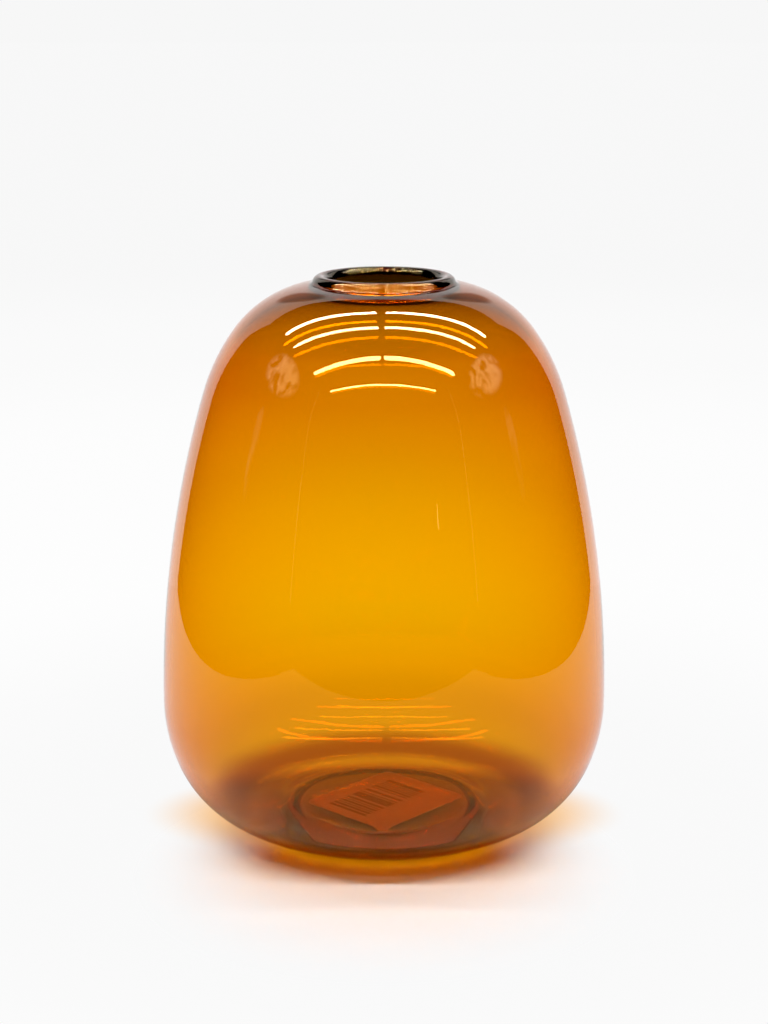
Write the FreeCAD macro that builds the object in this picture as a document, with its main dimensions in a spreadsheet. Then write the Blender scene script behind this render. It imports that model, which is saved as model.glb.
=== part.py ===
import FreeCAD, Part
import math
import os

import Sketcher

# Gourd-shaped vase of amber glass, blown in one piece, with a paper label under its base.
# The origin is on the surface it stands on, at the middle of the standing ring, and +Z is the
# vase's own axis. All lengths are in millimetres and all angles in degrees.

SIZES = [
    # outer form, from the ground up
    ("height", 187.0, "ground to the top of the lip"),
    ("foot_radius", 36.0, "outside of the flat standing ring, where the heel begins"),
    ("heel_turn", 67.0, "angle that the tight heel curve turns through"),
    ("belly_radius", 75.0, "widest radius of the vase"),
    ("belly_height", 43.5, "height of the widest place"),
    ("flank_turn", 16.5, "angle that the long flank curve turns through"),
    ("shoulder_turn", 20.0, "angle that the shoulder curve turns through"),
    ("shoulder_curve_radius", 67.0, "radius of the shoulder curve itself"),
    ("crown_centre_radius", 18.8, "distance of the crown curve's centre from the vase's axis"),
    ("lip_stand", 2.4, "how far the lip stands above the highest level of the crown"),
    # mouth
    ("mouth_radius", 18.6, "clear radius of the mouth"),
    ("lip_bead_radius", 2.45, "radius of the round bead that is the lip"),
    ("neck_fillet", 2.0, "groove between the lip and the crown"),
    ("throat_rounding", 1.6, "rounding under the mouth, inside"),
    # glass thickness
    ("wall", 2.6, "glass at the flank, shoulder and crown"),
    ("base_glass", 3.2, "glass under the hollow"),
    ("floor_spread", 5.0, "how much wider the hollow's floor is than the standing ring"),
    ("hollow_heel_turn", 55.0, "angle that the hollow's tight heel curve turns through"),
    # the base is pushed up in the middle, so the vase stands on a ring
    ("push_up", 2.3, "height of the recess under the base"),
    ("ring_width", 3.5, "width of the flat standing ring"),
    ("step_run", 4.5, "distance over which the glass rises from the ring to the recess"),
    # label
    ("label_length_share", 0.75, "long side of the label, as a share of the recess's width"),
    ("label_width_share", 0.66, "short side of the label, as a share of the recess's width"),
    ("label_corner", 3.0, "rounding of the label's corners"),
    ("label_thickness", 0.15, "paper with its adhesive"),
    ("label_turn", 47.0, "how far the long side is turned from +X, seen from above"),
    ("label_shift", 0.5, "how far off the axis the label was stuck, along +X"),
]

UPWARDS = FreeCAD.Vector(0, 0, 1)


def make_sizes(doc):
    sheet = doc.addObject("Spreadsheet::Sheet", "Sizes")
    for row, (name, value, meaning) in enumerate(SIZES, start=1):
        sheet.set(f"A{row}", name)
        sheet.set(f"B{row}", str(value))
        sheet.set(f"C{row}", meaning)
        sheet.setAlias(f"B{row}", name)
    doc.recompute()
    return sheet


def point(radius, height):
    return FreeCAD.Vector(radius, height, 0)


def direction(angle):
    return FreeCAD.Vector(math.cos(angle), math.sin(angle), 0)


def solve_pair(a1, b1, c1, a2, b2, c2):
    # x and y from a1 x + b1 y = c1 and a2 x + b2 y = c2
    det = a1 * b2 - a2 * b1
    return (c1 * b2 - c2 * b1) / det, (a1 * c2 - a2 * c1) / det


def heel_curves(foot, belly, turn):
    # Two arcs that leave the ground level at the foot and stand upright at the belly.
    # The first turns through turn, the second through the rest of the right angle.
    across = belly.x - foot.x
    up = belly.y - foot.y
    heel, lower = solve_pair(
        math.sin(turn), 1 - math.sin(turn), across, 1 - math.cos(turn), math.cos(turn), up
    )
    heel_centre = foot + point(0, heel)
    lower_centre = belly - point(lower, 0)
    joint = lower_centre + direction(turn - math.pi / 2) * lower
    return heel_centre, joint, lower_centre


def upper_curves(belly, flank_turn, shoulder_turn, shoulder_reach, highest):
    # Three arcs that leave the belly upright and lie level at the highest place of the crown.
    # The flank and the shoulder turn through their own angles, the crown through the rest.
    lean = flank_turn + shoulder_turn
    shoulder_across = shoulder_reach * (math.cos(flank_turn) - math.cos(lean))
    shoulder_up = shoulder_reach * (math.sin(lean) - math.sin(flank_turn))
    flank_reach, crown_reach = solve_pair(
        1 - math.cos(flank_turn), math.cos(lean), belly.x - highest.x - shoulder_across,
        math.sin(flank_turn), 1 - math.sin(lean), highest.y - belly.y - shoulder_up,
    )
    flank_centre = belly - point(flank_reach, 0)
    flank_end = flank_centre + direction(flank_turn) * flank_reach
    shoulder_centre = flank_end - direction(flank_turn) * shoulder_reach
    shoulder_end = shoulder_centre + direction(lean) * shoulder_reach
    crown_centre = highest - point(0, crown_reach)
    return flank_centre, flank_end, shoulder_centre, shoulder_end, crown_centre, crown_reach


def rise_curves(low, high):
    # Two equal arcs that leave the lower place level and reach the higher one level.
    # They meet half way, and each centre lies straight above or below its own end.
    away = high - low
    turn = 2 * math.atan2(away.y, abs(away.x))
    return (low + high) * 0.5, point(0, away.Length / 2 / (2 * math.sin(turn / 2)))


def touching_centre(centre_1, reach_1, centre_2, reach_2):
    # centre of the circle that lies reach_1 from one centre and reach_2 from the other, outwards
    apart = centre_2 - centre_1
    along = (apart.Length**2 + reach_1**2 - reach_2**2) / (2 * apart.Length)
    aside = math.sqrt(reach_1**2 - along**2)
    unit = apart.normalize()
    return centre_1 + unit * along + point(unit.y, -unit.x) * aside


def between(start, end, reach):
    # the place on the way from start to end, reach from start
    return start + (end - start).normalize() * reach


class Outline:
    """Lines and arcs in a sketch, each with its own number and those of its first and last ends.

    A sketch calls its level axis -1, whose first end is the origin, and its upright axis -2.
    The centre of an arc is its end 3.
    """

    def __init__(self, sketch):
        self.sketch = sketch

    def line(self, start, end):
        return self.sketch.addGeometry(Part.LineSegment(start, end), False), 1, 2

    def arc(self, centre, start, end, turns_left=True):
        # A sketch's arc always runs to the left, so one that turns right has its ends swapped.
        first, last = (start, end) if turns_left else (end, start)
        angles = [math.atan2(p.y - centre.y, p.x - centre.x) for p in (first, last)]
        circle = Part.Circle(centre, UPWARDS, (start - centre).Length)
        made = self.sketch.addGeometry(Part.ArcOfCircle(circle, *angles), False)
        return (made, 1, 2) if turns_left else (made, 2, 1)

    def tie(self, kind, *what):
        return self.sketch.addConstraint(Sketcher.Constraint(kind, *what))

    def smooth(self, *pieces):
        for one, other in zip(pieces, pieces[1:]):
            self.tie("Tangent", one[0], one[2], other[0], other[1])

    def corner(self, one, other):
        self.tie("Coincident", one[0], one[2], other[0], other[1])

    def size(self, kind, what, name, formula, now):
        # a dimension that follows the spreadsheet by its formula
        made = self.tie(kind, *what, now)
        self.sketch.renameConstraint(made, name)
        self.sketch.setExpression(f"Constraints.{name}", formula)

    def across(self, piece, end, name, formula, now):
        self.size("DistanceX", (-1, 1, piece[0], end), name, formula, now)

    def up(self, piece, end, name, formula, now):
        self.size("DistanceY", (-1, 1, piece[0], end), name, formula, now)

    def on_upright_axis(self, piece, end):
        self.tie("PointOnObject", piece[0], end, -2)

    def centred_on_origin(self, piece, end, other, other_end):
        self.tie("Symmetric", piece[0], end, other[0], other_end, -1, 1)


def origin_plane(body, role):
    return next(f for f in body.Origin.OriginFeatures if f.Role == role)


def new_sketch(body, name, plane):
    sketch = body.newObject("Sketcher::SketchObject", name)
    sketch.AttachmentSupport = [(origin_plane(body, plane), "")]
    sketch.MapMode = "FlatFace"
    return sketch


def draw_wall(sketch, s):
    # Half a cut through the vase. It runs outwards under the base, up the outside, over the lip
    # and back down the inside to the axis. Outside and inside share the centres of their curves.
    draw = Outline(sketch)
    heel_turn = math.radians(s.heel_turn)
    hollow_heel_turn = math.radians(s.hollow_heel_turn)
    flank_turn = math.radians(s.flank_turn)
    shoulder_turn = math.radians(s.shoulder_turn)
    ring_radius = s.foot_radius - s.ring_width
    recess_radius = ring_radius - s.step_run
    crown_level = s.height - s.lip_stand

    # outside
    foot = point(s.foot_radius, 0)
    belly = point(s.belly_radius, s.belly_height)
    heel_centre, heel_end, lower_centre = heel_curves(foot, belly, heel_turn)
    (flank_centre, flank_end, shoulder_centre, shoulder_end, crown_centre,
     crown_reach) = upper_curves(belly, flank_turn, shoulder_turn, s.shoulder_curve_radius,
                                 point(s.crown_centre_radius, crown_level))
    lip_centre = point(s.mouth_radius + s.lip_bead_radius, s.height - s.lip_bead_radius)
    groove_centre = touching_centre(
        crown_centre, crown_reach + s.neck_fillet, lip_centre, s.lip_bead_radius + s.neck_fillet
    )
    crown_end = between(groove_centre, crown_centre, s.neck_fillet)
    lip_start = between(groove_centre, lip_centre, s.neck_fillet)
    throat_start = point(s.mouth_radius, lip_centre.y)

    # inside
    rounding_radius = s.mouth_radius + s.throat_rounding
    rounding_reach = crown_reach - s.wall + s.throat_rounding
    rounding_rise = math.sqrt(rounding_reach**2 - (rounding_radius - crown_centre.x) ** 2)
    rounding_centre = point(rounding_radius, crown_centre.y + rounding_rise)
    throat_end = point(s.mouth_radius, rounding_centre.y)
    inner_crown_end = between(rounding_centre, crown_centre, s.throat_rounding)
    inner_shoulder_end = between(shoulder_end, crown_centre, s.wall)
    inner_flank_end = between(flank_end, shoulder_centre, s.wall)
    inner_belly = belly - point(s.wall, 0)
    floor_edge = point(s.foot_radius + s.floor_spread, s.base_glass)
    inner_heel_centre, inner_heel_end, inner_lower_centre = heel_curves(
        floor_edge, inner_belly, hollow_heel_turn
    )

    # The glass rises from the ring to the recess in two equal arcs. Inside, two longer ones rise
    # from the edge of the floor to its raised middle.
    recess = point(recess_radius, s.push_up)
    ring = point(ring_radius, 0)
    half_way, step_reach = rise_curves(ring, recess)
    axis_low = point(0, s.push_up)
    axis_high = point(0, s.push_up + s.base_glass)
    raised_edge = point(recess_radius, axis_high.y)
    inner_half_way, inner_step_reach = rise_curves(floor_edge, raised_edge)

    ceiling = draw.line(axis_low, recess)
    step_out = draw.arc(recess - step_reach, recess, half_way, turns_left=False)
    step_in = draw.arc(ring + step_reach, half_way, ring)
    standing = draw.line(ring, foot)
    heel = draw.arc(heel_centre, foot, heel_end)
    lower = draw.arc(lower_centre, heel_end, belly)
    flank = draw.arc(flank_centre, belly, flank_end)
    shoulder = draw.arc(shoulder_centre, flank_end, shoulder_end)
    crown = draw.arc(crown_centre, shoulder_end, crown_end)
    groove = draw.arc(groove_centre, crown_end, lip_start, turns_left=False)
    lip = draw.arc(lip_centre, lip_start, throat_start)
    throat = draw.line(throat_start, throat_end)
    rounding = draw.arc(rounding_centre, throat_end, inner_crown_end)
    inner_crown = draw.arc(crown_centre, inner_crown_end, inner_shoulder_end, turns_left=False)
    inner_shoulder = draw.arc(shoulder_centre, inner_shoulder_end, inner_flank_end, turns_left=False)
    inner_flank = draw.arc(flank_centre, inner_flank_end, inner_belly, turns_left=False)
    inner_lower = draw.arc(inner_lower_centre, inner_belly, inner_heel_end, turns_left=False)
    inner_heel = draw.arc(inner_heel_centre, inner_heel_end, floor_edge, turns_left=False)
    inner_step_in = draw.arc(floor_edge + inner_step_reach, floor_edge, inner_half_way,
                             turns_left=False)
    inner_step_out = draw.arc(raised_edge - inner_step_reach, inner_half_way, raised_edge)
    raised_floor = draw.line(raised_edge, axis_high)
    axis = draw.line(axis_high, axis_low)
    highest = draw.line(crown_centre, crown_centre + point(0, crown_reach))
    sketch.setConstruction(highest[0], True)

    # how they join
    draw.smooth(ceiling, step_out, step_in, standing, heel, lower, flank, shoulder, crown, groove,
                lip, throat, rounding, inner_crown, inner_shoulder, inner_flank, inner_lower,
                inner_heel, inner_step_in, inner_step_out, raised_floor)
    draw.corner(raised_floor, axis)
    draw.corner(axis, ceiling)
    draw.on_upright_axis(ceiling, 1)
    draw.on_upright_axis(raised_floor, 2)
    for level in (ceiling, standing, raised_floor):
        draw.tie("Horizontal", level[0])
    for curve in (lower, inner_lower):
        draw.tie("Horizontal", curve[0], 3, curve[0], 2)
    draw.tie("Vertical", inner_heel[0], 3, inner_heel[0], inner_heel[2])
    draw.tie("Vertical", throat[0])
    draw.tie("Vertical", highest[0])
    draw.tie("Coincident", highest[0], 1, crown[0], 3)
    draw.tie("PointOnObject", highest[0], 2, crown[0])
    draw.tie("Equal", step_out[0], step_in[0])
    draw.tie("Equal", inner_step_out[0], inner_step_in[0])
    for outer, inner in ((crown, inner_crown), (shoulder, inner_shoulder), (flank, inner_flank)):
        draw.tie("Coincident", outer[0], 3, inner[0], 3)

    # their sizes
    to_ring = "Sizes.foot_radius - Sizes.ring_width"
    to_recess = f"{to_ring} - Sizes.step_run"
    draw.up(standing, 1, "ground", "0", 0)
    draw.across(standing, 2, "foot", "Sizes.foot_radius", foot.x)
    draw.across(standing, 1, "ring", to_ring, ring.x)
    draw.across(ceiling, 2, "recess", to_recess, recess.x)
    draw.up(ceiling, 2, "recess_level", "Sizes.push_up", recess.y)
    draw.size("Angle", (heel[0],), "heel_turn", "Sizes.heel_turn", heel_turn)
    draw.across(flank, 1, "belly", "Sizes.belly_radius", belly.x)
    draw.up(flank, 1, "belly_level", "Sizes.belly_height", belly.y)
    draw.size("Angle", (flank[0],), "flank_turn", "Sizes.flank_turn", flank_turn)
    draw.size("Angle", (shoulder[0],), "shoulder_turn", "Sizes.shoulder_turn", shoulder_turn)
    draw.size("Radius", (shoulder[0],), "shoulder_curve", "Sizes.shoulder_curve_radius",
              s.shoulder_curve_radius)
    draw.across(crown, 3, "crown_centre", "Sizes.crown_centre_radius", crown_centre.x)
    draw.up(highest, 2, "crown_level", "Sizes.height - Sizes.lip_stand", crown_level)
    draw.size("Radius", (groove[0],), "neck_fillet", "Sizes.neck_fillet", s.neck_fillet)
    draw.size("Radius", (lip[0],), "lip_bead", "Sizes.lip_bead_radius", s.lip_bead_radius)
    draw.across(lip, 3, "lip_middle", "Sizes.mouth_radius + Sizes.lip_bead_radius", lip_centre.x)
    draw.up(lip, 3, "lip_level", "Sizes.height - Sizes.lip_bead_radius", lip_centre.y)
    draw.size("Radius", (rounding[0],), "throat_rounding", "Sizes.throat_rounding",
              s.throat_rounding)
    draw.across(inner_flank, 1, "inner_belly", "Sizes.belly_radius - Sizes.wall", inner_belly.x)
    draw.size("Angle", (inner_heel[0],), "inner_heel_turn", "Sizes.hollow_heel_turn",
              hollow_heel_turn)
    draw.across(inner_heel, inner_heel[2], "floor_edge", "Sizes.foot_radius + Sizes.floor_spread",
                floor_edge.x)
    draw.up(inner_heel, inner_heel[2], "floor_level", "Sizes.base_glass", floor_edge.y)
    draw.across(raised_floor, 1, "raised_edge", to_recess, recess.x)
    draw.up(raised_floor, 1, "raised_level", "Sizes.base_glass + Sizes.push_up", axis_high.y)


def make_vessel(doc, sizes):
    # one wall of glass, turned about the axis
    body = doc.addObject("PartDesign::Body", "glass_vessel")
    section = new_sketch(body, "wall_section", "XZ_Plane")
    draw_wall(section, sizes)
    turned = body.newObject("PartDesign::Revolution", "blown_wall")
    turned.Profile = section
    turned.ReferenceAxis = (section, ["V_Axis"])
    turned.Angle = 360
    return body


def make_label(doc, s):
    # a paper label with round corners, stuck to the ceiling of the recess under the base
    body = doc.addObject("PartDesign::Body", "base_label")
    outline = new_sketch(body, "label_outline", "XY_Plane")
    draw = Outline(outline)
    recess_width = 2 * (s.foot_radius - s.ring_width - s.step_run)
    length = recess_width * s.label_length_share
    width = recess_width * s.label_width_share
    far = point(length / 2, width / 2)
    corners = [-far, point(far.x, -far.y), far, point(-far.x, far.y)]
    sides = [draw.line(start, end) for start, end in zip(corners, corners[1:] + corners[:1])]
    for side, following in zip(sides, sides[1:] + sides[:1]):
        draw.corner(side, following)
    for side, lies in zip(sides, ("Horizontal", "Vertical") * 2):
        draw.tie(lies, side[0])
    draw.centred_on_origin(sides[0], 1, sides[1], 2)
    formula = "2 * (Sizes.foot_radius - Sizes.ring_width - Sizes.step_run) * Sizes."
    draw.size("DistanceX", (sides[0][0], 1, sides[0][0], 2), "length",
              formula + "label_length_share", length)
    draw.size("DistanceY", (sides[1][0], 1, sides[1][0], 2), "width",
              formula + "label_width_share", width)
    paper = body.newObject("PartDesign::Pad", "paper")
    paper.Profile = outline
    paper.setExpression("Length", "Sizes.label_thickness")
    doc.recompute()
    upright = [f"Edge{i}" for i, edge in enumerate(paper.Shape.Edges, start=1)
               if edge.Vertexes[0].Z != edge.Vertexes[-1].Z]
    rounded = body.newObject("PartDesign::Fillet", "round_corners")
    rounded.Base = (paper, upright)
    rounded.setExpression("Radius", "Sizes.label_corner")
    body.Placement = FreeCAD.Placement(
        point(s.label_shift, 0) + UPWARDS * (s.push_up - s.label_thickness),
        FreeCAD.Rotation(UPWARDS, s.label_turn),
    )
    body.setExpression("Placement.Base.x", "Sizes.label_shift")
    body.setExpression("Placement.Base.z", "Sizes.push_up - Sizes.label_thickness")
    body.setExpression("Placement.Rotation.Angle", "Sizes.label_turn")
    return body


def check(doc, bodies):
    failed = [o.Label for o in doc.Objects if {"Invalid", "Error"} & set(o.State)]
    if failed:
        raise RuntimeError(f"these failed to build: {failed}")
    loose = [o.Label for o in doc.Objects
             if o.TypeId == "Sketcher::SketchObject" and not o.FullyConstrained]
    if loose:
        raise RuntimeError(f"these sketches can still move: {loose}")
    for body in bodies:
        if body.Shape.isNull() or not body.Shape.isValid():
            raise RuntimeError(f"{body.Label} has no valid shape")


def main():
    doc = FreeCAD.newDocument("gourd_vase")
    sizes = make_sizes(doc)
    bodies = [make_vessel(doc, sizes), make_label(doc, sizes)]
    doc.recompute()
    check(doc, bodies)
    os.makedirs("parts", exist_ok=True)
    for body in bodies:
        body.Shape.exportStep(os.path.join("parts", f"{body.Label}.step"))
        print(body.Label, "volume", round(body.Shape.Volume), "solids", len(body.Shape.Solids))


main()
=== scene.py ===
import math

import bmesh
import bpy
from mathutils import Matrix, Vector


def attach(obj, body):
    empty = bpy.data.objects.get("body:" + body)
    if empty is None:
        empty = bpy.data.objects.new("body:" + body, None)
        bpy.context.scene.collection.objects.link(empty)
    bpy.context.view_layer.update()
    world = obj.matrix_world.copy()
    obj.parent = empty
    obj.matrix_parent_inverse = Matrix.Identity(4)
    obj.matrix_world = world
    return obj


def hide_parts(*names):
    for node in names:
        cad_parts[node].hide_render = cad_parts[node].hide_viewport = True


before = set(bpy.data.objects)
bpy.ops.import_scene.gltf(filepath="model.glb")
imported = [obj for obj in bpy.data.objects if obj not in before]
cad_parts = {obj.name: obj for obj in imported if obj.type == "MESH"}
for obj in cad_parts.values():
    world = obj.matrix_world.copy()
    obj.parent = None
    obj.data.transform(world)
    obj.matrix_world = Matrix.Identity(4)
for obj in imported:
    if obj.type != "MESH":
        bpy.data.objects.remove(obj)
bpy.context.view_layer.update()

# Gourd vase of clear amber glass with a paper label under its base, on a glossy white table.
# Lengths are in metres and angles in degrees. X is to the right, Y away from the camera, Z up.


def placeAt(radius, height):
    return Vector((radius, 0, height))


def aim(angle):
    # a unit direction in the upright plane of the section, turned left from +X
    return Vector((math.cos(angle), 0, math.sin(angle)))


def solvePair(a1, b1, c1, a2, b2, c2):
    # x and z from a1 x + b1 z = c1 and a2 x + b2 z = c2
    det = a1 * b2 - a2 * b1
    return (c1 * b2 - c2 * b1) / det, (a1 * c2 - a2 * c1) / det


def newObject(name, bm, material):
    mesh = bpy.data.meshes.new(name)
    bm.to_mesh(mesh)
    bm.free()
    mesh.materials.append(material)
    made = bpy.data.objects.new(name, mesh)
    bpy.context.scene.collection.objects.link(made)
    return made


def newMaterial(name):
    material = bpy.data.materials.new(name)
    material.use_nodes = True
    material.node_tree.nodes.clear()
    return material, material.node_tree


def addNode(tree, kind, settings=None, **values):
    # settings are the node's own, values go to its sockets, whose names have a capital for each word
    node = tree.nodes.new(kind)
    for key, value in (settings or {}).items():
        setattr(node, key, value)
    for key, value in values.items():
        node.inputs[key].default_value = value
    return node


def join(tree, output, socket):
    tree.links.new(output, socket)


def feed(tree, value, socket):
    # the value may be a plain number or another node's output
    if isinstance(value, (int, float)):
        socket.default_value = value
    else:
        join(tree, value, socket)


def number(tree, operation, *values):
    node = addNode(tree, "ShaderNodeMath", {"operation": operation})
    for socket, value in zip(node.inputs, values):
        feed(tree, value, socket)
    return node.outputs[0]


def times(tree, one, other):
    return number(tree, "MULTIPLY", one, other)


def within(tree, value, half):
    # 1 where the value lies between -half and half
    return number(tree, "LESS_THAN", number(tree, "ABSOLUTE", value), half)


def blend(tree, factor, low, high):
    node = addNode(tree, "ShaderNodeMix", {"data_type": "FLOAT"})
    for socket, value in zip((node.inputs[0], node.inputs[2], node.inputs[3]), (factor, low, high)):
        feed(tree, value, socket)
    return node.outputs[0]


def tintBy(tree, factor, base, color, how="MIX"):
    # the base is another node's color, or three numbers as color is
    node = addNode(tree, "ShaderNodeMix", {"data_type": "RGBA", "blend_type": how})
    join(tree, factor, node.inputs["Factor"])
    if isinstance(base, tuple):
        node.inputs[6].default_value = (*base, 1)
    else:
        join(tree, base, node.inputs[6])
    node.inputs[7].default_value = (*color, 1)
    return node.outputs[2]


def scaled(tree, color, factor):
    node = addNode(tree, "ShaderNodeVectorMath", {"operation": "SCALE"})
    node.inputs[0].default_value = color
    join(tree, factor, node.inputs["Scale"])
    return node.outputs["Vector"]


def rough(tree, output, strength, depth):
    bump = addNode(tree, "ShaderNodeBump", Strength=strength, Distance=depth)
    join(tree, output, bump.inputs["Height"])
    return bump.outputs["Normal"]


def mixShaders(tree, factor, low, high):
    node = addNode(tree, "ShaderNodeMixShader")
    feed(tree, factor, node.inputs["Fac"])
    join(tree, low, node.inputs[1])
    join(tree, high, node.inputs[2])
    return node.outputs["Shader"]


def finishMaterial(tree, surface, volume=None):
    out = addNode(tree, "ShaderNodeOutputMaterial")
    join(tree, surface, out.inputs["Surface"])
    if volume:
        join(tree, volume, out.inputs["Volume"])


def placeOf(tree):
    # the place on the object, whole and as its X, Y and Z
    where = addNode(tree, "ShaderNodeTexCoord")
    return where.outputs["Object"], partsOf(tree, where.outputs["Object"])


def partsOf(tree, spot):
    parts = addNode(tree, "ShaderNodeSeparateXYZ")
    join(tree, spot, parts.inputs["Vector"])
    return parts.outputs


def ease(tree, value, start, end, low=0.0, high=1.0):
    node = addNode(tree, "ShaderNodeMapRange", {"interpolation_type": "SMOOTHSTEP"})
    join(tree, value, node.inputs["Value"])
    for socket, amount in zip(("From Min", "From Max", "To Min", "To Max"), (start, end, low, high)):
        node.inputs[socket].default_value = amount
    return node.outputs["Result"]


def distance(tree, parts, place=(0, 0), width=1.0):
    # how far a point lies from the place, with lengths along X divided by the width
    across = times(tree, number(tree, "SUBTRACT", parts["X"], place[0]), 1 / width)
    away = number(tree, "SUBTRACT", parts["Y"], place[1])
    squares = number(tree, "ADD", number(tree, "POWER", across, 2.0), number(tree, "POWER", away, 2.0))
    return number(tree, "SQRT", squares)


# The glass. Its section is one closed run of lines and arcs, each smooth with the next.

vase = {
    "height": 0.187,
    "footRadius": 0.036,
    "heelTurn": 67,
    "bellyRadius": 0.075,
    "bellyHeight": 0.0435,
    "flankTurn": 16.5,
    "shoulderTurn": 20,
    "shoulderCurve": 0.067,
    "crownCentre": 0.0188,
    "lipStand": 0.0024,
    "mouthRadius": 0.0186,
    "lipBead": 0.00245,
    "neckFillet": 0.002,
    "throatRounding": 0.0016,
    "wall": 0.0026,
    "crownDrop": 0.0022,     # how far the inside's crown is centred below the outside's, thicker on top
    "baseGlass": 0.0032,
    "floorSpread": 0.005,    # how much wider the hollow's floor is than the standing ring
    "hollowHeelTurn": 55,
    "pushUp": 0.0023,
    "ringWidth": 0.0035,
    "stepRun": 0.0045,
    "turnPerRow": 3.0,       # degrees that a curve of the section turns in one row of faces
    "longestRow": 0.005,
    "columns": 224,
    "merge": 0.000001,       # points nearer than this become one
}


def lineTo(bm, last, end):
    rows = max(1, math.ceil((end - last.co).length / vase["longestRow"]))
    start = last.co.copy()
    for row in range(rows):
        last = bmesh.ops.extrude_vert_indiv(bm, verts=[last])["verts"][0]
        last.co = start.lerp(end, (row + 1) / rows)
    return last


def arcTo(bm, last, centre, end, left=True):
    first = math.atan2(last.co.z - centre.z, last.co.x - centre.x)
    final = math.atan2(end.z - centre.z, end.x - centre.x)
    turn = (final - first) % math.tau if left else -((first - final) % math.tau)
    reach = (end - centre).length
    rows = max(math.degrees(abs(turn)) / vase["turnPerRow"], abs(turn) * reach / vase["longestRow"])
    made = bmesh.ops.spin(bm, geom=[last], cent=centre, axis=(0, -1, 0), angle=turn,
                          steps=max(2, math.ceil(rows)), use_merge=False)
    last = next(v for v in made["geom_last"] if isinstance(v, bmesh.types.BMVert))
    last.co = end
    return last


def heelCurves(foot, belly, turn):
    # two arcs that leave the ground level at the foot and stand upright at the belly
    heel, lower = solvePair(math.sin(turn), 1 - math.sin(turn), belly.x - foot.x,
                            1 - math.cos(turn), math.cos(turn), belly.z - foot.z)
    lowerCentre = belly - placeAt(lower, 0)
    return foot + placeAt(0, heel), lowerCentre + aim(turn - math.pi / 2) * lower, lowerCentre


def riseCurves(low, high):
    # two equal arcs that leave the low place level and reach the high one level
    turn = 2 * math.atan2(high.z - low.z, abs(high.x - low.x))
    return (low + high) / 2, placeAt(0, (high - low).length / 4 / math.sin(turn / 2))


def touching(centre1, reach1, centre2, reach2):
    # the centre that lies reach1 from one and reach2 from the other, on the outer side
    apart = centre2 - centre1
    along = (apart.length_squared + reach1**2 - reach2**2) / (2 * apart.length)
    aside = math.sqrt(reach1**2 - along**2)
    unit = apart.normalized()
    return centre1 + unit * along + placeAt(unit.z, -unit.x) * aside


def onWay(start, end, reach):
    return start + (end - start).normalized() * reach


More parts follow.
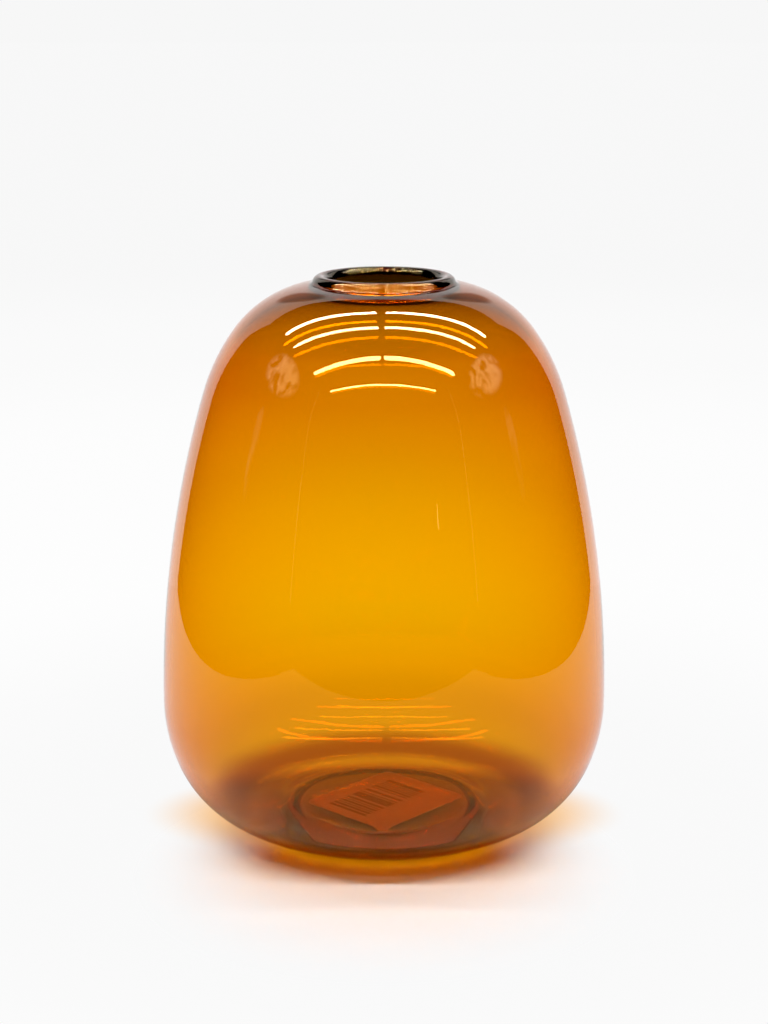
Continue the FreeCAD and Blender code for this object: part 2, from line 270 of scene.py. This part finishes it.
def drawSection(bm):
    v = vase
    flankTurn, shoulderTurn = math.radians(v["flankTurn"]), math.radians(v["shoulderTurn"])
    lean = flankTurn + shoulderTurn
    heelTurn, hollowTurn = math.radians(v["heelTurn"]), math.radians(v["hollowHeelTurn"])
    shoulderReach, wall = v["shoulderCurve"], v["wall"]
    ringRadius = v["footRadius"] - v["ringWidth"]
    recessRadius = ringRadius - v["stepRun"]

    # outside
    foot = placeAt(v["footRadius"], 0)
    belly = placeAt(v["bellyRadius"], v["bellyHeight"])
    crownTop = placeAt(v["crownCentre"], v["height"] - v["lipStand"])
    heelCentre, heelEnd, lowerCentre = heelCurves(foot, belly, heelTurn)
    flankReach, crownReach = solvePair(
        1 - math.cos(flankTurn), math.cos(lean),
        belly.x - crownTop.x - shoulderReach * (math.cos(flankTurn) - math.cos(lean)),
        math.sin(flankTurn), 1 - math.sin(lean),
        crownTop.z - belly.z - shoulderReach * (math.sin(lean) - math.sin(flankTurn)),
    )
    flankCentre = belly - placeAt(flankReach, 0)
    flankEnd = flankCentre + aim(flankTurn) * flankReach
    shoulderCentre = flankEnd - aim(flankTurn) * shoulderReach
    shoulderEnd = shoulderCentre + aim(lean) * shoulderReach
    crownCentre = crownTop - placeAt(0, crownReach)
    lipCentre = placeAt(v["mouthRadius"] + v["lipBead"], v["height"] - v["lipBead"])
    groove = v["neckFillet"]
    grooveCentre = touching(crownCentre, crownReach + groove, lipCentre, v["lipBead"] + groove)

    # inside
    innerCrown = crownCentre - placeAt(0, v["crownDrop"])
    innerCrownReach = shoulderReach - wall - (innerCrown - shoulderCentre).length
    rounding = placeAt(v["mouthRadius"] + v["throatRounding"], 0)
    roundingReach = innerCrownReach + v["throatRounding"]
    rounding.z = innerCrown.z + math.sqrt(roundingReach**2 - (rounding.x - innerCrown.x) ** 2)
    innerBelly = belly - placeAt(wall, 0)
    floorEdge = placeAt(v["footRadius"] + v["floorSpread"], v["baseGlass"])
    innerHeelCentre, innerHeelEnd, innerLowerCentre = heelCurves(floorEdge, innerBelly, hollowTurn)

    # the rise from the standing ring to the recess is two equal arcs, and so is the floor's
    recess, ring = placeAt(recessRadius, v["pushUp"]), placeAt(ringRadius, 0)
    halfWay, stepReach = riseCurves(ring, recess)
    axisLow, axisHigh = placeAt(0, v["pushUp"]), placeAt(0, v["pushUp"] + v["baseGlass"])
    raisedEdge = placeAt(recessRadius, axisHigh.z)
    innerHalfWay, innerReach = riseCurves(floorEdge, raisedEdge)

    last = bm.verts.new(axisLow)
    last = lineTo(bm, last, recess)
    last = arcTo(bm, last, recess - stepReach, halfWay, left=False)
    last = arcTo(bm, last, ring + stepReach, ring)
    last = lineTo(bm, last, foot)
    last = arcTo(bm, last, heelCentre, heelEnd)
    last = arcTo(bm, last, lowerCentre, belly)
    last = arcTo(bm, last, flankCentre, flankEnd)
    last = arcTo(bm, last, shoulderCentre, shoulderEnd)
    last = arcTo(bm, last, crownCentre, onWay(grooveCentre, crownCentre, groove))
    last = arcTo(bm, last, grooveCentre, onWay(grooveCentre, lipCentre, groove), left=False)
    last = arcTo(bm, last, lipCentre, placeAt(v["mouthRadius"], lipCentre.z))
    last = lineTo(bm, last, placeAt(v["mouthRadius"], rounding.z))
    last = arcTo(bm, last, rounding, onWay(rounding, innerCrown, v["throatRounding"]))
    last = arcTo(bm, last, innerCrown, onWay(shoulderCentre, innerCrown, shoulderReach - wall), left=False)
    last = arcTo(bm, last, shoulderCentre, onWay(flankEnd, shoulderCentre, wall), left=False)
    last = arcTo(bm, last, flankCentre, innerBelly, left=False)
    last = arcTo(bm, last, innerLowerCentre, innerHeelEnd, left=False)
    last = arcTo(bm, last, innerHeelCentre, floorEdge, left=False)
    last = arcTo(bm, last, floorEdge + innerReach, innerHalfWay, left=False)
    last = arcTo(bm, last, raisedEdge - innerReach, raisedEdge)
    lineTo(bm, last, axisHigh)


amber = {
    "perMetre": 2000,                    # absorption where the colour is black
    "passes": (0.978, 0.899, 0.0),       # colour whose lack is absorbed
    "frontTint": (1.0, 0.62, 0.16),      # reflection straight on; at a glancing angle it is white
    "index": 1.5,
    "waveScale": 28.0,                   # faint waves in the blown surface
    "waveDetail": 1.0,
    "waveDepth": 0.00004,
    # surface tint at each height, deeper towards the mouth; towards the base the darkening is painted
    # shade, for the table's shadow seen through the heel
    "depth": ((0.006, (0.82, 0.70, 0.60)), (0.014, (0.92, 0.84, 0.80)), (0.030, (0.97, 0.92, 0.90)),
              (0.050, (1.0, 1.0, 1.0)), (0.095, (1.0, 1.0, 1.0)), (0.135, (0.98, 0.87, 0.80)),
              (0.154, (0.94, 0.72, 0.62)), (0.165, (0.95, 0.79, 0.66)), (0.1825, (0.66, 0.70, 0.55)),
              (0.187, (0.52, 0.42, 0.36))),
    "heelPaintedShade": (0.44, 0.18, 0.18),      # painted shade of the heel, which looks dark all round from the table's shadow under the vase seen through it
    "heelShadeFrom": (0.044, 0.052),          # it grows between these distances from the axis
    "heelShadeUpTo": (0.005, 0.0115),         # and fades between these heights
}


def makeAmber():
    material, tree = newMaterial("amber_glass")
    spot, parts = placeOf(tree)
    # tint by height, with painted shade towards the base
    depth = addNode(tree, "ShaderNodeValToRGB")
    stops = depth.color_ramp.elements
    stops.remove(stops[1])
    for row, (height, color) in enumerate(amber["depth"]):
        stop = stops[0] if row == 0 else stops.new(height / vase["height"])
        stop.position = height / vase["height"]
        stop.color = (*color, 1)
    join(tree, number(tree, "DIVIDE", parts["Z"], vase["height"]), depth.inputs["Fac"])
    waves = addNode(tree, "ShaderNodeTexNoise", Scale=amber["waveScale"], Detail=amber["waveDetail"])
    join(tree, spot, waves.inputs["Vector"])
    # painted shade on the heel, for the shadow under the vase seen through the glass
    heel = times(tree, ease(tree, distance(tree, parts), *amber["heelShadeFrom"]),
                 ease(tree, parts["Z"], *amber["heelShadeUpTo"], 1.0, 0.0))
    glass = addNode(tree, "ShaderNodeBsdfPrincipled", Roughness=0.0, IOR=amber["index"])
    glass.inputs["Transmission Weight"].default_value = 1.0
    glass.inputs["Specular Tint"].default_value = (*amber["frontTint"], 1)
    join(tree, tintBy(tree, heel, depth.outputs["Color"], amber["heelPaintedShade"]), glass.inputs["Base Color"])
    join(tree, rough(tree, waves.outputs["Fac"], 1.0, amber["waveDepth"]), glass.inputs["Normal"])
    inside = addNode(tree, "ShaderNodeVolumeAbsorption", Density=amber["perMetre"])
    inside.inputs["Color"].default_value = (*amber["passes"], 1)
    finishMaterial(tree, glass.outputs["BSDF"], inside.outputs["Volume"])
    return material


def makeVessel():
    bm = bmesh.new()
    drawSection(bm)
    bmesh.ops.spin(bm, geom=bm.verts[:] + bm.edges[:], cent=(0, 0, 0), axis=(0, 0, 1),
                   angle=math.tau, steps=vase["columns"], use_merge=True)
    bmesh.ops.remove_doubles(bm, verts=bm.verts[:], dist=vase["merge"])
    bmesh.ops.recalc_face_normals(bm, faces=bm.faces[:])
    for face in bm.faces:
        face.smooth = True
    print("vessel:", len(bm.faces), "faces, volume", round(bm.calc_volume() * 1e9), "mm3")
    vessel = newObject("vase_glass", bm, makeAmber())
    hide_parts("glass_vessel")
    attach(vessel, "root")


makeVessel()

# The paper label, stuck under the raised middle of the base

label = {
    "length": 0.042,
    "width": 0.037,
    "corner": 0.003,
    "thickness": 0.00013,
    "gap": 0.00001,            # between the paper and the glass
    "turn": 47,
    "shift": 0.0005,
    "paper": (0.68, 0.67, 0.64),
    "ink": (0.30, 0.28, 0.24),
    "fieldLength": 0.031,      # the printed field of bars
    "fieldWidth": 0.017,
    "fieldShift": (-0.001, 0.003),
    "barsPerMetre": 1500,
    "inked": 0.55,             # share of the field that is printed
    "fibreScale": 900,
    "fibreDetail": 4.0,
    "fibreShade": (0.86, 1.06),
    "fibreStrength": 0.4,
    "fibreDepth": 0.00003,
    "roughness": 0.8,
    "cornerSegments": 8,
}


def makePaper():
    material, tree = newMaterial("label_paper")
    where = addNode(tree, "ShaderNodeTexCoord")
    turned = addNode(tree, "ShaderNodeMapping", {"vector_type": "TEXTURE"})
    turned.inputs["Location"].default_value = (label["shift"], 0, 0)
    turned.inputs["Rotation"].default_value = (0, 0, math.radians(label["turn"]))
    join(tree, where.outputs["Object"], turned.inputs["Vector"])
    field = addNode(tree, "ShaderNodeMapping", {"vector_type": "TEXTURE"})
    field.inputs["Location"].default_value = (*label["fieldShift"], 0)
    join(tree, turned.outputs["Vector"], field.inputs["Vector"])
    parts = partsOf(tree, field.outputs["Vector"])
    # plain bars of uneven width, which stand for no number
    count = number(tree, "FLOOR", times(tree, parts["X"], label["barsPerMetre"]))
    chance = addNode(tree, "ShaderNodeTexWhiteNoise", {"noise_dimensions": "1D"})
    join(tree, count, chance.inputs["W"])
    dark = number(tree, "LESS_THAN", chance.outputs["Value"], label["inked"])
    printed = times(tree, within(tree, parts["X"], label["fieldLength"] / 2),
                    within(tree, parts["Y"], label["fieldWidth"] / 2))
    fibres = addNode(tree, "ShaderNodeTexNoise", Scale=label["fibreScale"], Detail=label["fibreDetail"])
    join(tree, turned.outputs["Vector"], fibres.inputs["Vector"])
    shade = addNode(tree, "ShaderNodeMapRange")
    join(tree, fibres.outputs["Fac"], shade.inputs["Value"])
    for socket, value in zip(("To Min", "To Max"), label["fibreShade"]):
        shade.inputs[socket].default_value = value
    plain = scaled(tree, label["paper"], shade.outputs["Result"])
    paper = addNode(tree, "ShaderNodeBsdfPrincipled", Roughness=label["roughness"])
    join(tree, tintBy(tree, times(tree, printed, dark), plain, label["ink"]), paper.inputs["Base Color"])
    bumpy = rough(tree, fibres.outputs["Fac"], label["fibreStrength"], label["fibreDepth"])
    join(tree, bumpy, paper.inputs["Normal"])
    finishMaterial(tree, paper.outputs["BSDF"])
    return material


def makeLabel():
    bm = bmesh.new()
    sized = Matrix.Diagonal((label["length"], label["width"], 1, 1))
    bmesh.ops.create_grid(bm, x_segments=1, y_segments=1, size=0.5, matrix=sized)
    bmesh.ops.bevel(bm, geom=bm.verts[:], offset=label["corner"], offset_type="OFFSET",
                    segments=label["cornerSegments"], profile=0.5, affect="VERTICES", material=-1)
    grown = bmesh.ops.extrude_face_region(bm, geom=bm.faces[:])
    top = [v for v in grown["geom"] if isinstance(v, bmesh.types.BMVert)]
    bmesh.ops.translate(bm, verts=top, vec=(0, 0, label["thickness"]))
    under = vase["pushUp"] - label["gap"] - label["thickness"]
    placed = (Matrix.Translation((label["shift"], 0, under))
              @ Matrix.Rotation(math.radians(label["turn"]), 4, "Z"))
    bmesh.ops.transform(bm, matrix=placed, verts=bm.verts[:])
    bmesh.ops.recalc_face_normals(bm, faces=bm.faces[:])
    paper = newObject("paper_label", bm, makePaper())
    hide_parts("base_label")
    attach(paper, "root")


makeLabel()

# The table, the lights and what the glass reflects

table = {
    "reach": 9.0,
    "color": (0.93, 0.93, 0.93),
    "paintedContactShade": (0.041, 0.050),  # painted contact shade: the table's colour is darker nearer the foot than this
    "paintedContactLevel": 0.4,
    "gloss": 0.05,             # share of the light that the table mirrors
    "roughness": 0.04,
    "segments": 96,
    "litPlace": (0, -0.05),    # the tubes light it round here, and beyond the reach it only glows
    "litReach": (0.036, 0.085),
    "litWidth": 0.95,
    "halfWide": 0.36,          # what the glass mirrors of it
    "front": -0.39,
    # how bright it looks at each distance, straight on and through the glass; the dimmer levels near the
    # vase are painted shade
    "seen": ((0.1, 0.95), (0.315, 0.985), (0.60, 0.98), (1.0, 0.957), (1.5, 0.935)),
    "seenThrough": ((0.065, 1.0), (0.10, 1.05), (0.20, 1.15), (0.315, 1.2), (0.60, 1.05), (1.0, 0.93),
                    (1.5, 0.88)),
    "paintedAmberColor": (1.0, 0.84, 0.6),
    "paintedAmberPool": (0.09, 0.26),    # painted amber light, standing for what the glass throws on it, up to here
    "mirroredShadeNear": (0.065, 0.10),  # painted shade: near the vase, the glass mirrors only a share of its level
    "mirroredShadeLevel": 0.4,
    "under": (0.030, 0.047),   # painted shade: under the glass it is dark and amber up to here
    "underShadeWidth": 1.8,
    "underShadeLevel": 0.4,
    "underShadeColor": (1.0, 0.62, 0.3),
}

# the back wall, with two darker patches, which is there only for the glass to mirror
wall = {
    "away": 0.315,
    "half": 0.35,
    "height": 0.48,
    "patchPlaces": ((-0.115, 0.36), (0.115, 0.36)),
    "patchSize": (0.05, 0.085),
    "patchLevel": 0.26,
    "spotEdge": 0.35,          # square of the share of a soft spot that is full, here and at the sides
}

# rows of tubes overhead, which light the scene
tubes = {
    "height": 0.5,
    "segments": 16,
    # away, left end, right end, radius, half of the gap in the middle, light that it gives
    "rows": ((0.110, -0.325, 0.350, 0.0098, 0.010, 4.8), (-0.022, -0.342, 0.363, 0.0098, 0.009, 11.0),
             (-0.235, -0.329, 0.328, 0.0092, 0.008, 27.5), (-0.392, -0.303, 0.293, 0.0042, 0.0, 6.3)),
    "gapPlace": -0.007,
    "seen": 62.0,             # how bright they look in the glass
}

# bright folds on both side walls, two thin posts at the front and a short glint
sides = {
    "away": 0.35,
    "half": 0.3,               # half the height and half the depth of a side wall
    "patches": (((-0.09, 0.385), (0.12, 0.085), 4.0), ((-0.077, 0.20), (0.02, 0.06), 0.8)),
    "foldScale": 16.0,
    "foldDetail": 2.0,
    "foldDistortion": 1.0,
    "foldEdges": (0.38, 0.62),
    "segments": 12,
    "postFront": -0.345,
    "postWidth": 0.005,
    "postLevel": 1.2,
    "postHeight": (0.08, 0.50),
    "glintPlace": (0.266, -0.50, 0.207),
    "glintSize": (0.006, 0.036),
    "glintLevel": 6.0,
}

sky = {
    "seen": 0.93,
    "dark": 0.005,
    "fill": 0.01,              # even light on the table beside that of the tubes
    "throughGlass": 10.0,      # what comes down through the glass, from overhead
    "cap": (0.45, 0.85),       # it starts and is full where the view looks up by so much
    "clear": (0.1, 0.45, 0.96, 0.06),  # seen through the glass: from and to where, and both levels
}


def levels(tree, value, stops):
    # joins the levels in stops, each given at a value, by smooth steps
    level = stops[0][1]
    for (start, low), (end, high) in zip(stops, stops[1:]):
        level = number(tree, "ADD", level, ease(tree, value, start, end, 0.0, high - low))
    return level


def firstLook(tree):
    # 1 for rays that have met no dull surface yet, and 0 for those that only carry light
    rays = addNode(tree, "ShaderNodeLightPath").outputs
    return rays, number(tree, "LESS_THAN", rays["Diffuse Depth"], 0.5)


def mirrorLook(tree):
    # 1 for what a mirror shows. Rays through glass count as glossy too, so they are told apart here.
    rays, first = firstLook(tree)
    return times(tree, first, rays["Is Reflection Ray"])


def softSpot(tree, across, up, place, size):
    # 1 in the middle of an oval, 0 outside it
    wide = number(tree, "DIVIDE", number(tree, "SUBTRACT", across, place[0]), size[0])
    high = number(tree, "DIVIDE", number(tree, "SUBTRACT", up, place[1]), size[1])
    away = number(tree, "ADD", number(tree, "POWER", wide, 2.0), number(tree, "POWER", high, 2.0))
    return ease(tree, away, wall["spotEdge"], 1.0, 1.0, 0.0)


def finishGlow(tree, strength, shown):
    # a surface that glows where shown is 1 and isn't there where it is 0
    glow = addNode(tree, "ShaderNodeEmission")
    clear = addNode(tree, "ShaderNodeBsdfTransparent")
    feed(tree, strength, glow.inputs["Strength"])
    finishMaterial(tree, mixShaders(tree, shown, clear.outputs["BSDF"], glow.outputs["Emission"]))


def onlyMirrored(thing):
    for flag in ("visible_camera", "visible_diffuse", "visible_transmission", "visible_shadow"):
        setattr(thing, flag, False)
    thing.active_material.cycles.emission_sampling = "NONE"


def makeTable():
    material, tree = newMaterial("white_table")
    rays, first = firstLook(tree)
    parts = placeOf(tree)[1]
    flat = distance(tree, parts)
    dull = addNode(tree, "ShaderNodeBsdfDiffuse")
    # painted contact shade: the table's colour darkens near the foot
    contactShaded = ease(tree, flat, *table["paintedContactShade"], table["paintedContactLevel"], 1.0)
    join(tree, scaled(tree, table["color"], contactShaded), dull.inputs["Color"])
    gloss = addNode(tree, "ShaderNodeBsdfAnisotropic", Roughness=table["roughness"])
    gloss.inputs["Color"].default_value = (1, 1, 1, 1)
    lit = mixShaders(tree, table["gloss"], dull.outputs["BSDF"], gloss.outputs["BSDF"])
    # what it looks like far off, and in the glass
    framed = times(tree, within(tree, parts["X"], table["halfWide"]),
                   number(tree, "GREATER_THAN", parts["Y"], table["front"]))
    # painted shade near the vase in what the glass mirrors of the table
    mirroredShaded = ease(tree, flat, *table["mirroredShadeNear"], table["mirroredShadeLevel"] * sky["seen"], sky["seen"])
    mirrored = blend(tree, framed, sky["dark"], mirroredShaded)
    # painted shade under the vase, dimming what is seen through the glass
    below = distance(tree, parts, width=table["underShadeWidth"])
    shade = ease(tree, below, *table["under"], table["underShadeLevel"], 1.0)
    seen = blend(tree, rays["Is Transmission Ray"], levels(tree, flat, table["seen"]),
                 times(tree, shade, levels(tree, flat, table["seenThrough"])))
    glow = addNode(tree, "ShaderNodeEmission")
    join(tree, blend(tree, rays["Is Reflection Ray"], seen, mirrored), glow.inputs["Strength"])
    # painted amber shade under the vase, in the glow's colour
    under = tintBy(tree, ease(tree, below, *table["under"], 1.0, 0.0), (1, 1, 1), table["underShadeColor"])
    # painted amber light around the vase, seen through the glass
    paintedAmberPool = times(tree, rays["Is Transmission Ray"], ease(tree, flat, *table["paintedAmberPool"], 1.0, 0.0))
    join(tree, tintBy(tree, paintedAmberPool, under, table["paintedAmberColor"], "MULTIPLY"), glow.inputs["Color"])
    far = ease(tree, distance(tree, parts, table["litPlace"], table["litWidth"]), *table["litReach"])
    outside = times(tree, rays["Is Reflection Ray"], number(tree, "SUBTRACT", 1.0, framed))
    glowing = times(tree, first, number(tree, "MAXIMUM", far, outside))
    finishMaterial(tree, mixShaders(tree, glowing, lit, glow.outputs["Emission"]))
    material.cycles.emission_sampling = "NONE"
    bm = bmesh.new()
    bmesh.ops.create_circle(bm, cap_ends=True, segments=table["segments"], radius=table["reach"])
    newObject("white_table", bm, material)


def makeWall():
    # the lit back wall, which the glass mirrors
    material, tree = newMaterial("mirrored_wall")
    parts = placeOf(tree)[1]
    strength = 1.0
    for place in wall["patchPlaces"]:
        patch = softSpot(tree, parts["X"], parts["Z"], place, wall["patchSize"])
        strength = times(tree, strength, blend(tree, patch, 1.0, wall["patchLevel"]))
    finishGlow(tree, strength, mirrorLook(tree))
    bm = bmesh.new()
    sized = Matrix.Diagonal((2 * wall["half"], wall["height"], 1, 1))
    upright = Matrix.Rotation(math.pi / 2, 4, "X")
    placed = Matrix.Translation((0, wall["away"], wall["height"] / 2))
    bmesh.ops.create_grid(bm, x_segments=1, y_segments=1, size=0.5, matrix=placed @ upright @ sized)
    onlyMirrored(newObject("mirrored_wall", bm, material))


def makeRod(name, material, width, length, place):
    bm = bmesh.new()
    bmesh.ops.create_cone(bm, segments=sides["segments"], radius1=width / 2, radius2=width / 2,
                          depth=length, matrix=Matrix.Translation(place))
    onlyMirrored(newObject(name, bm, material))


def makeSides():
    material, tree = newMaterial("mirrored_folds")
    spot, parts = placeOf(tree)
    folds = addNode(tree, "ShaderNodeTexNoise", Scale=sides["foldScale"], Detail=sides["foldDetail"],
                    Distortion=sides["foldDistortion"])
    join(tree, spot, folds.inputs["Vector"])
    strength = 0.0
    for place, size, level in sides["patches"]:
        patch = softSpot(tree, parts["Y"], parts["Z"], place, size)
        strength = number(tree, "ADD", strength, times(tree, patch, level))
    strength = times(tree, strength, ease(tree, folds.outputs["Fac"], *sides["foldEdges"]))
    finishGlow(tree, strength, mirrorLook(tree))
    postMaterial, tree = newMaterial("mirrored_posts")
    finishGlow(tree, sides["postLevel"], mirrorLook(tree))
    glintMaterial, tree = newMaterial("mirrored_glint")
    finishGlow(tree, sides["glintLevel"], mirrorLook(tree))
    low, high = sides["postHeight"]
    upright = Matrix.Rotation(math.pi / 2, 4, "Y")
    for name, side in (("left", -1), ("right", 1)):
        across = side * sides["away"]
        placed = Matrix.Translation((across, 0, sides["half"]))
        bm = bmesh.new()
        bmesh.ops.create_grid(bm, x_segments=1, y_segments=1, size=sides["half"], matrix=placed @ upright)
        onlyMirrored(newObject(f"mirrored_folds_{name}", bm, material))
        makeRod(f"mirrored_post_{name}", postMaterial, sides["postWidth"], high - low,
                (across, sides["postFront"], (low + high) / 2))
    makeRod("mirrored_glint", glintMaterial, *sides["glintSize"], sides["glintPlace"])


def tubeGlass(name, light):
    material, tree = newMaterial(name)
    rays, first = firstLook(tree)
    looked = number(tree, "MAXIMUM", rays["Is Glossy Ray"], rays["Is Transmission Ray"])
    strength = blend(tree, times(tree, looked, first), light, tubes["seen"])
    # light that comes down through the glass is the sky's, so the tubes aren't there for it
    through = times(tree, rays["Is Transmission Ray"], number(tree, "SUBTRACT", 1.0, first))
    finishGlow(tree, strength, number(tree, "SUBTRACT", 1.0, through))
    return material


def makeTubes():
    along = Matrix.Rotation(math.pi / 2, 4, "Y")
    middle = tubes["gapPlace"]
    for row, (away, left, right, radius, gap, light) in enumerate(tubes["rows"], start=1):
        spans = [(left, middle - gap), (middle + gap, right)] if gap else [(left, right)]
        bm = bmesh.new()
        for start, end in spans:
            placed = Matrix.Translation(((start + end) / 2, away, tubes["height"]))
            bmesh.ops.create_cone(bm, cap_ends=True, segments=tubes["segments"], radius1=radius,
                                  radius2=radius, depth=end - start, matrix=placed @ along)
        name = f"tube_light_{row}"
        tube = newObject(name, bm, tubeGlass(name, light))
        tube.visible_camera = False
        tube.visible_shadow = False


def makeSky():
    world = bpy.data.worlds.new("studio")
    bpy.context.scene.world = world
    world.use_nodes = True
    tree = world.node_tree
    tree.nodes.clear()
    world.cycles.sampling_method = "NONE"
    rays, first = firstLook(tree)
    up = partsOf(tree, addNode(tree, "ShaderNodeTexCoord").outputs["Generated"])["Z"]
    # through the glass it is white near the horizon and darker above
    shown = blend(tree, rays["Is Transmission Ray"], sky["seen"], ease(tree, up, *sky["clear"]))
    shown = blend(tree, rays["Is Reflection Ray"], shown, sky["dark"])
    light = blend(tree, rays["Is Transmission Ray"], sky["fill"],
                  ease(tree, up, *sky["cap"], sky["fill"], sky["throughGlass"]))
    back = addNode(tree, "ShaderNodeBackground")
    back.inputs["Color"].default_value = (1, 1, 1, 1)
    join(tree, blend(tree, first, light, shown), back.inputs["Strength"])
    out = addNode(tree, "ShaderNodeOutputWorld")
    join(tree, back.outputs["Background"], out.inputs["Surface"])


makeTable()
makeWall()
makeSides()
makeTubes()
makeSky()
print("studio: table, wall, folds, tubes and sky")

# The camera stands where the photograph was taken

view = {
    "place": (0, -0.71665, 0.28213),
    "pitch": 76.28,            # degrees, where 90 looks level
    "sensor": 36.0,
    "lens": 77.34,
    "glassBounces": 24,        # a ray crosses many surfaces of the glass
    "glossyBounces": 12,
}


def makeCamera():
    data = bpy.data.cameras.new("camera")
    data.sensor_width = view["sensor"]
    data.lens = view["lens"]
    camera = bpy.data.objects.new("camera", data)
    camera.location = view["place"]
    camera.rotation_euler = (math.radians(view["pitch"]), 0, 0)
    bpy.context.scene.collection.objects.link(camera)
    bpy.context.scene.camera = camera


makeCamera()

scene = bpy.context.scene
scene.view_settings.view_transform = "Standard"
scene.cycles.max_bounces = view["glassBounces"]
scene.cycles.transmission_bounces = view["glassBounces"]
scene.cycles.glossy_bounces = view["glossyBounces"]

bpy.context.view_layer.update()
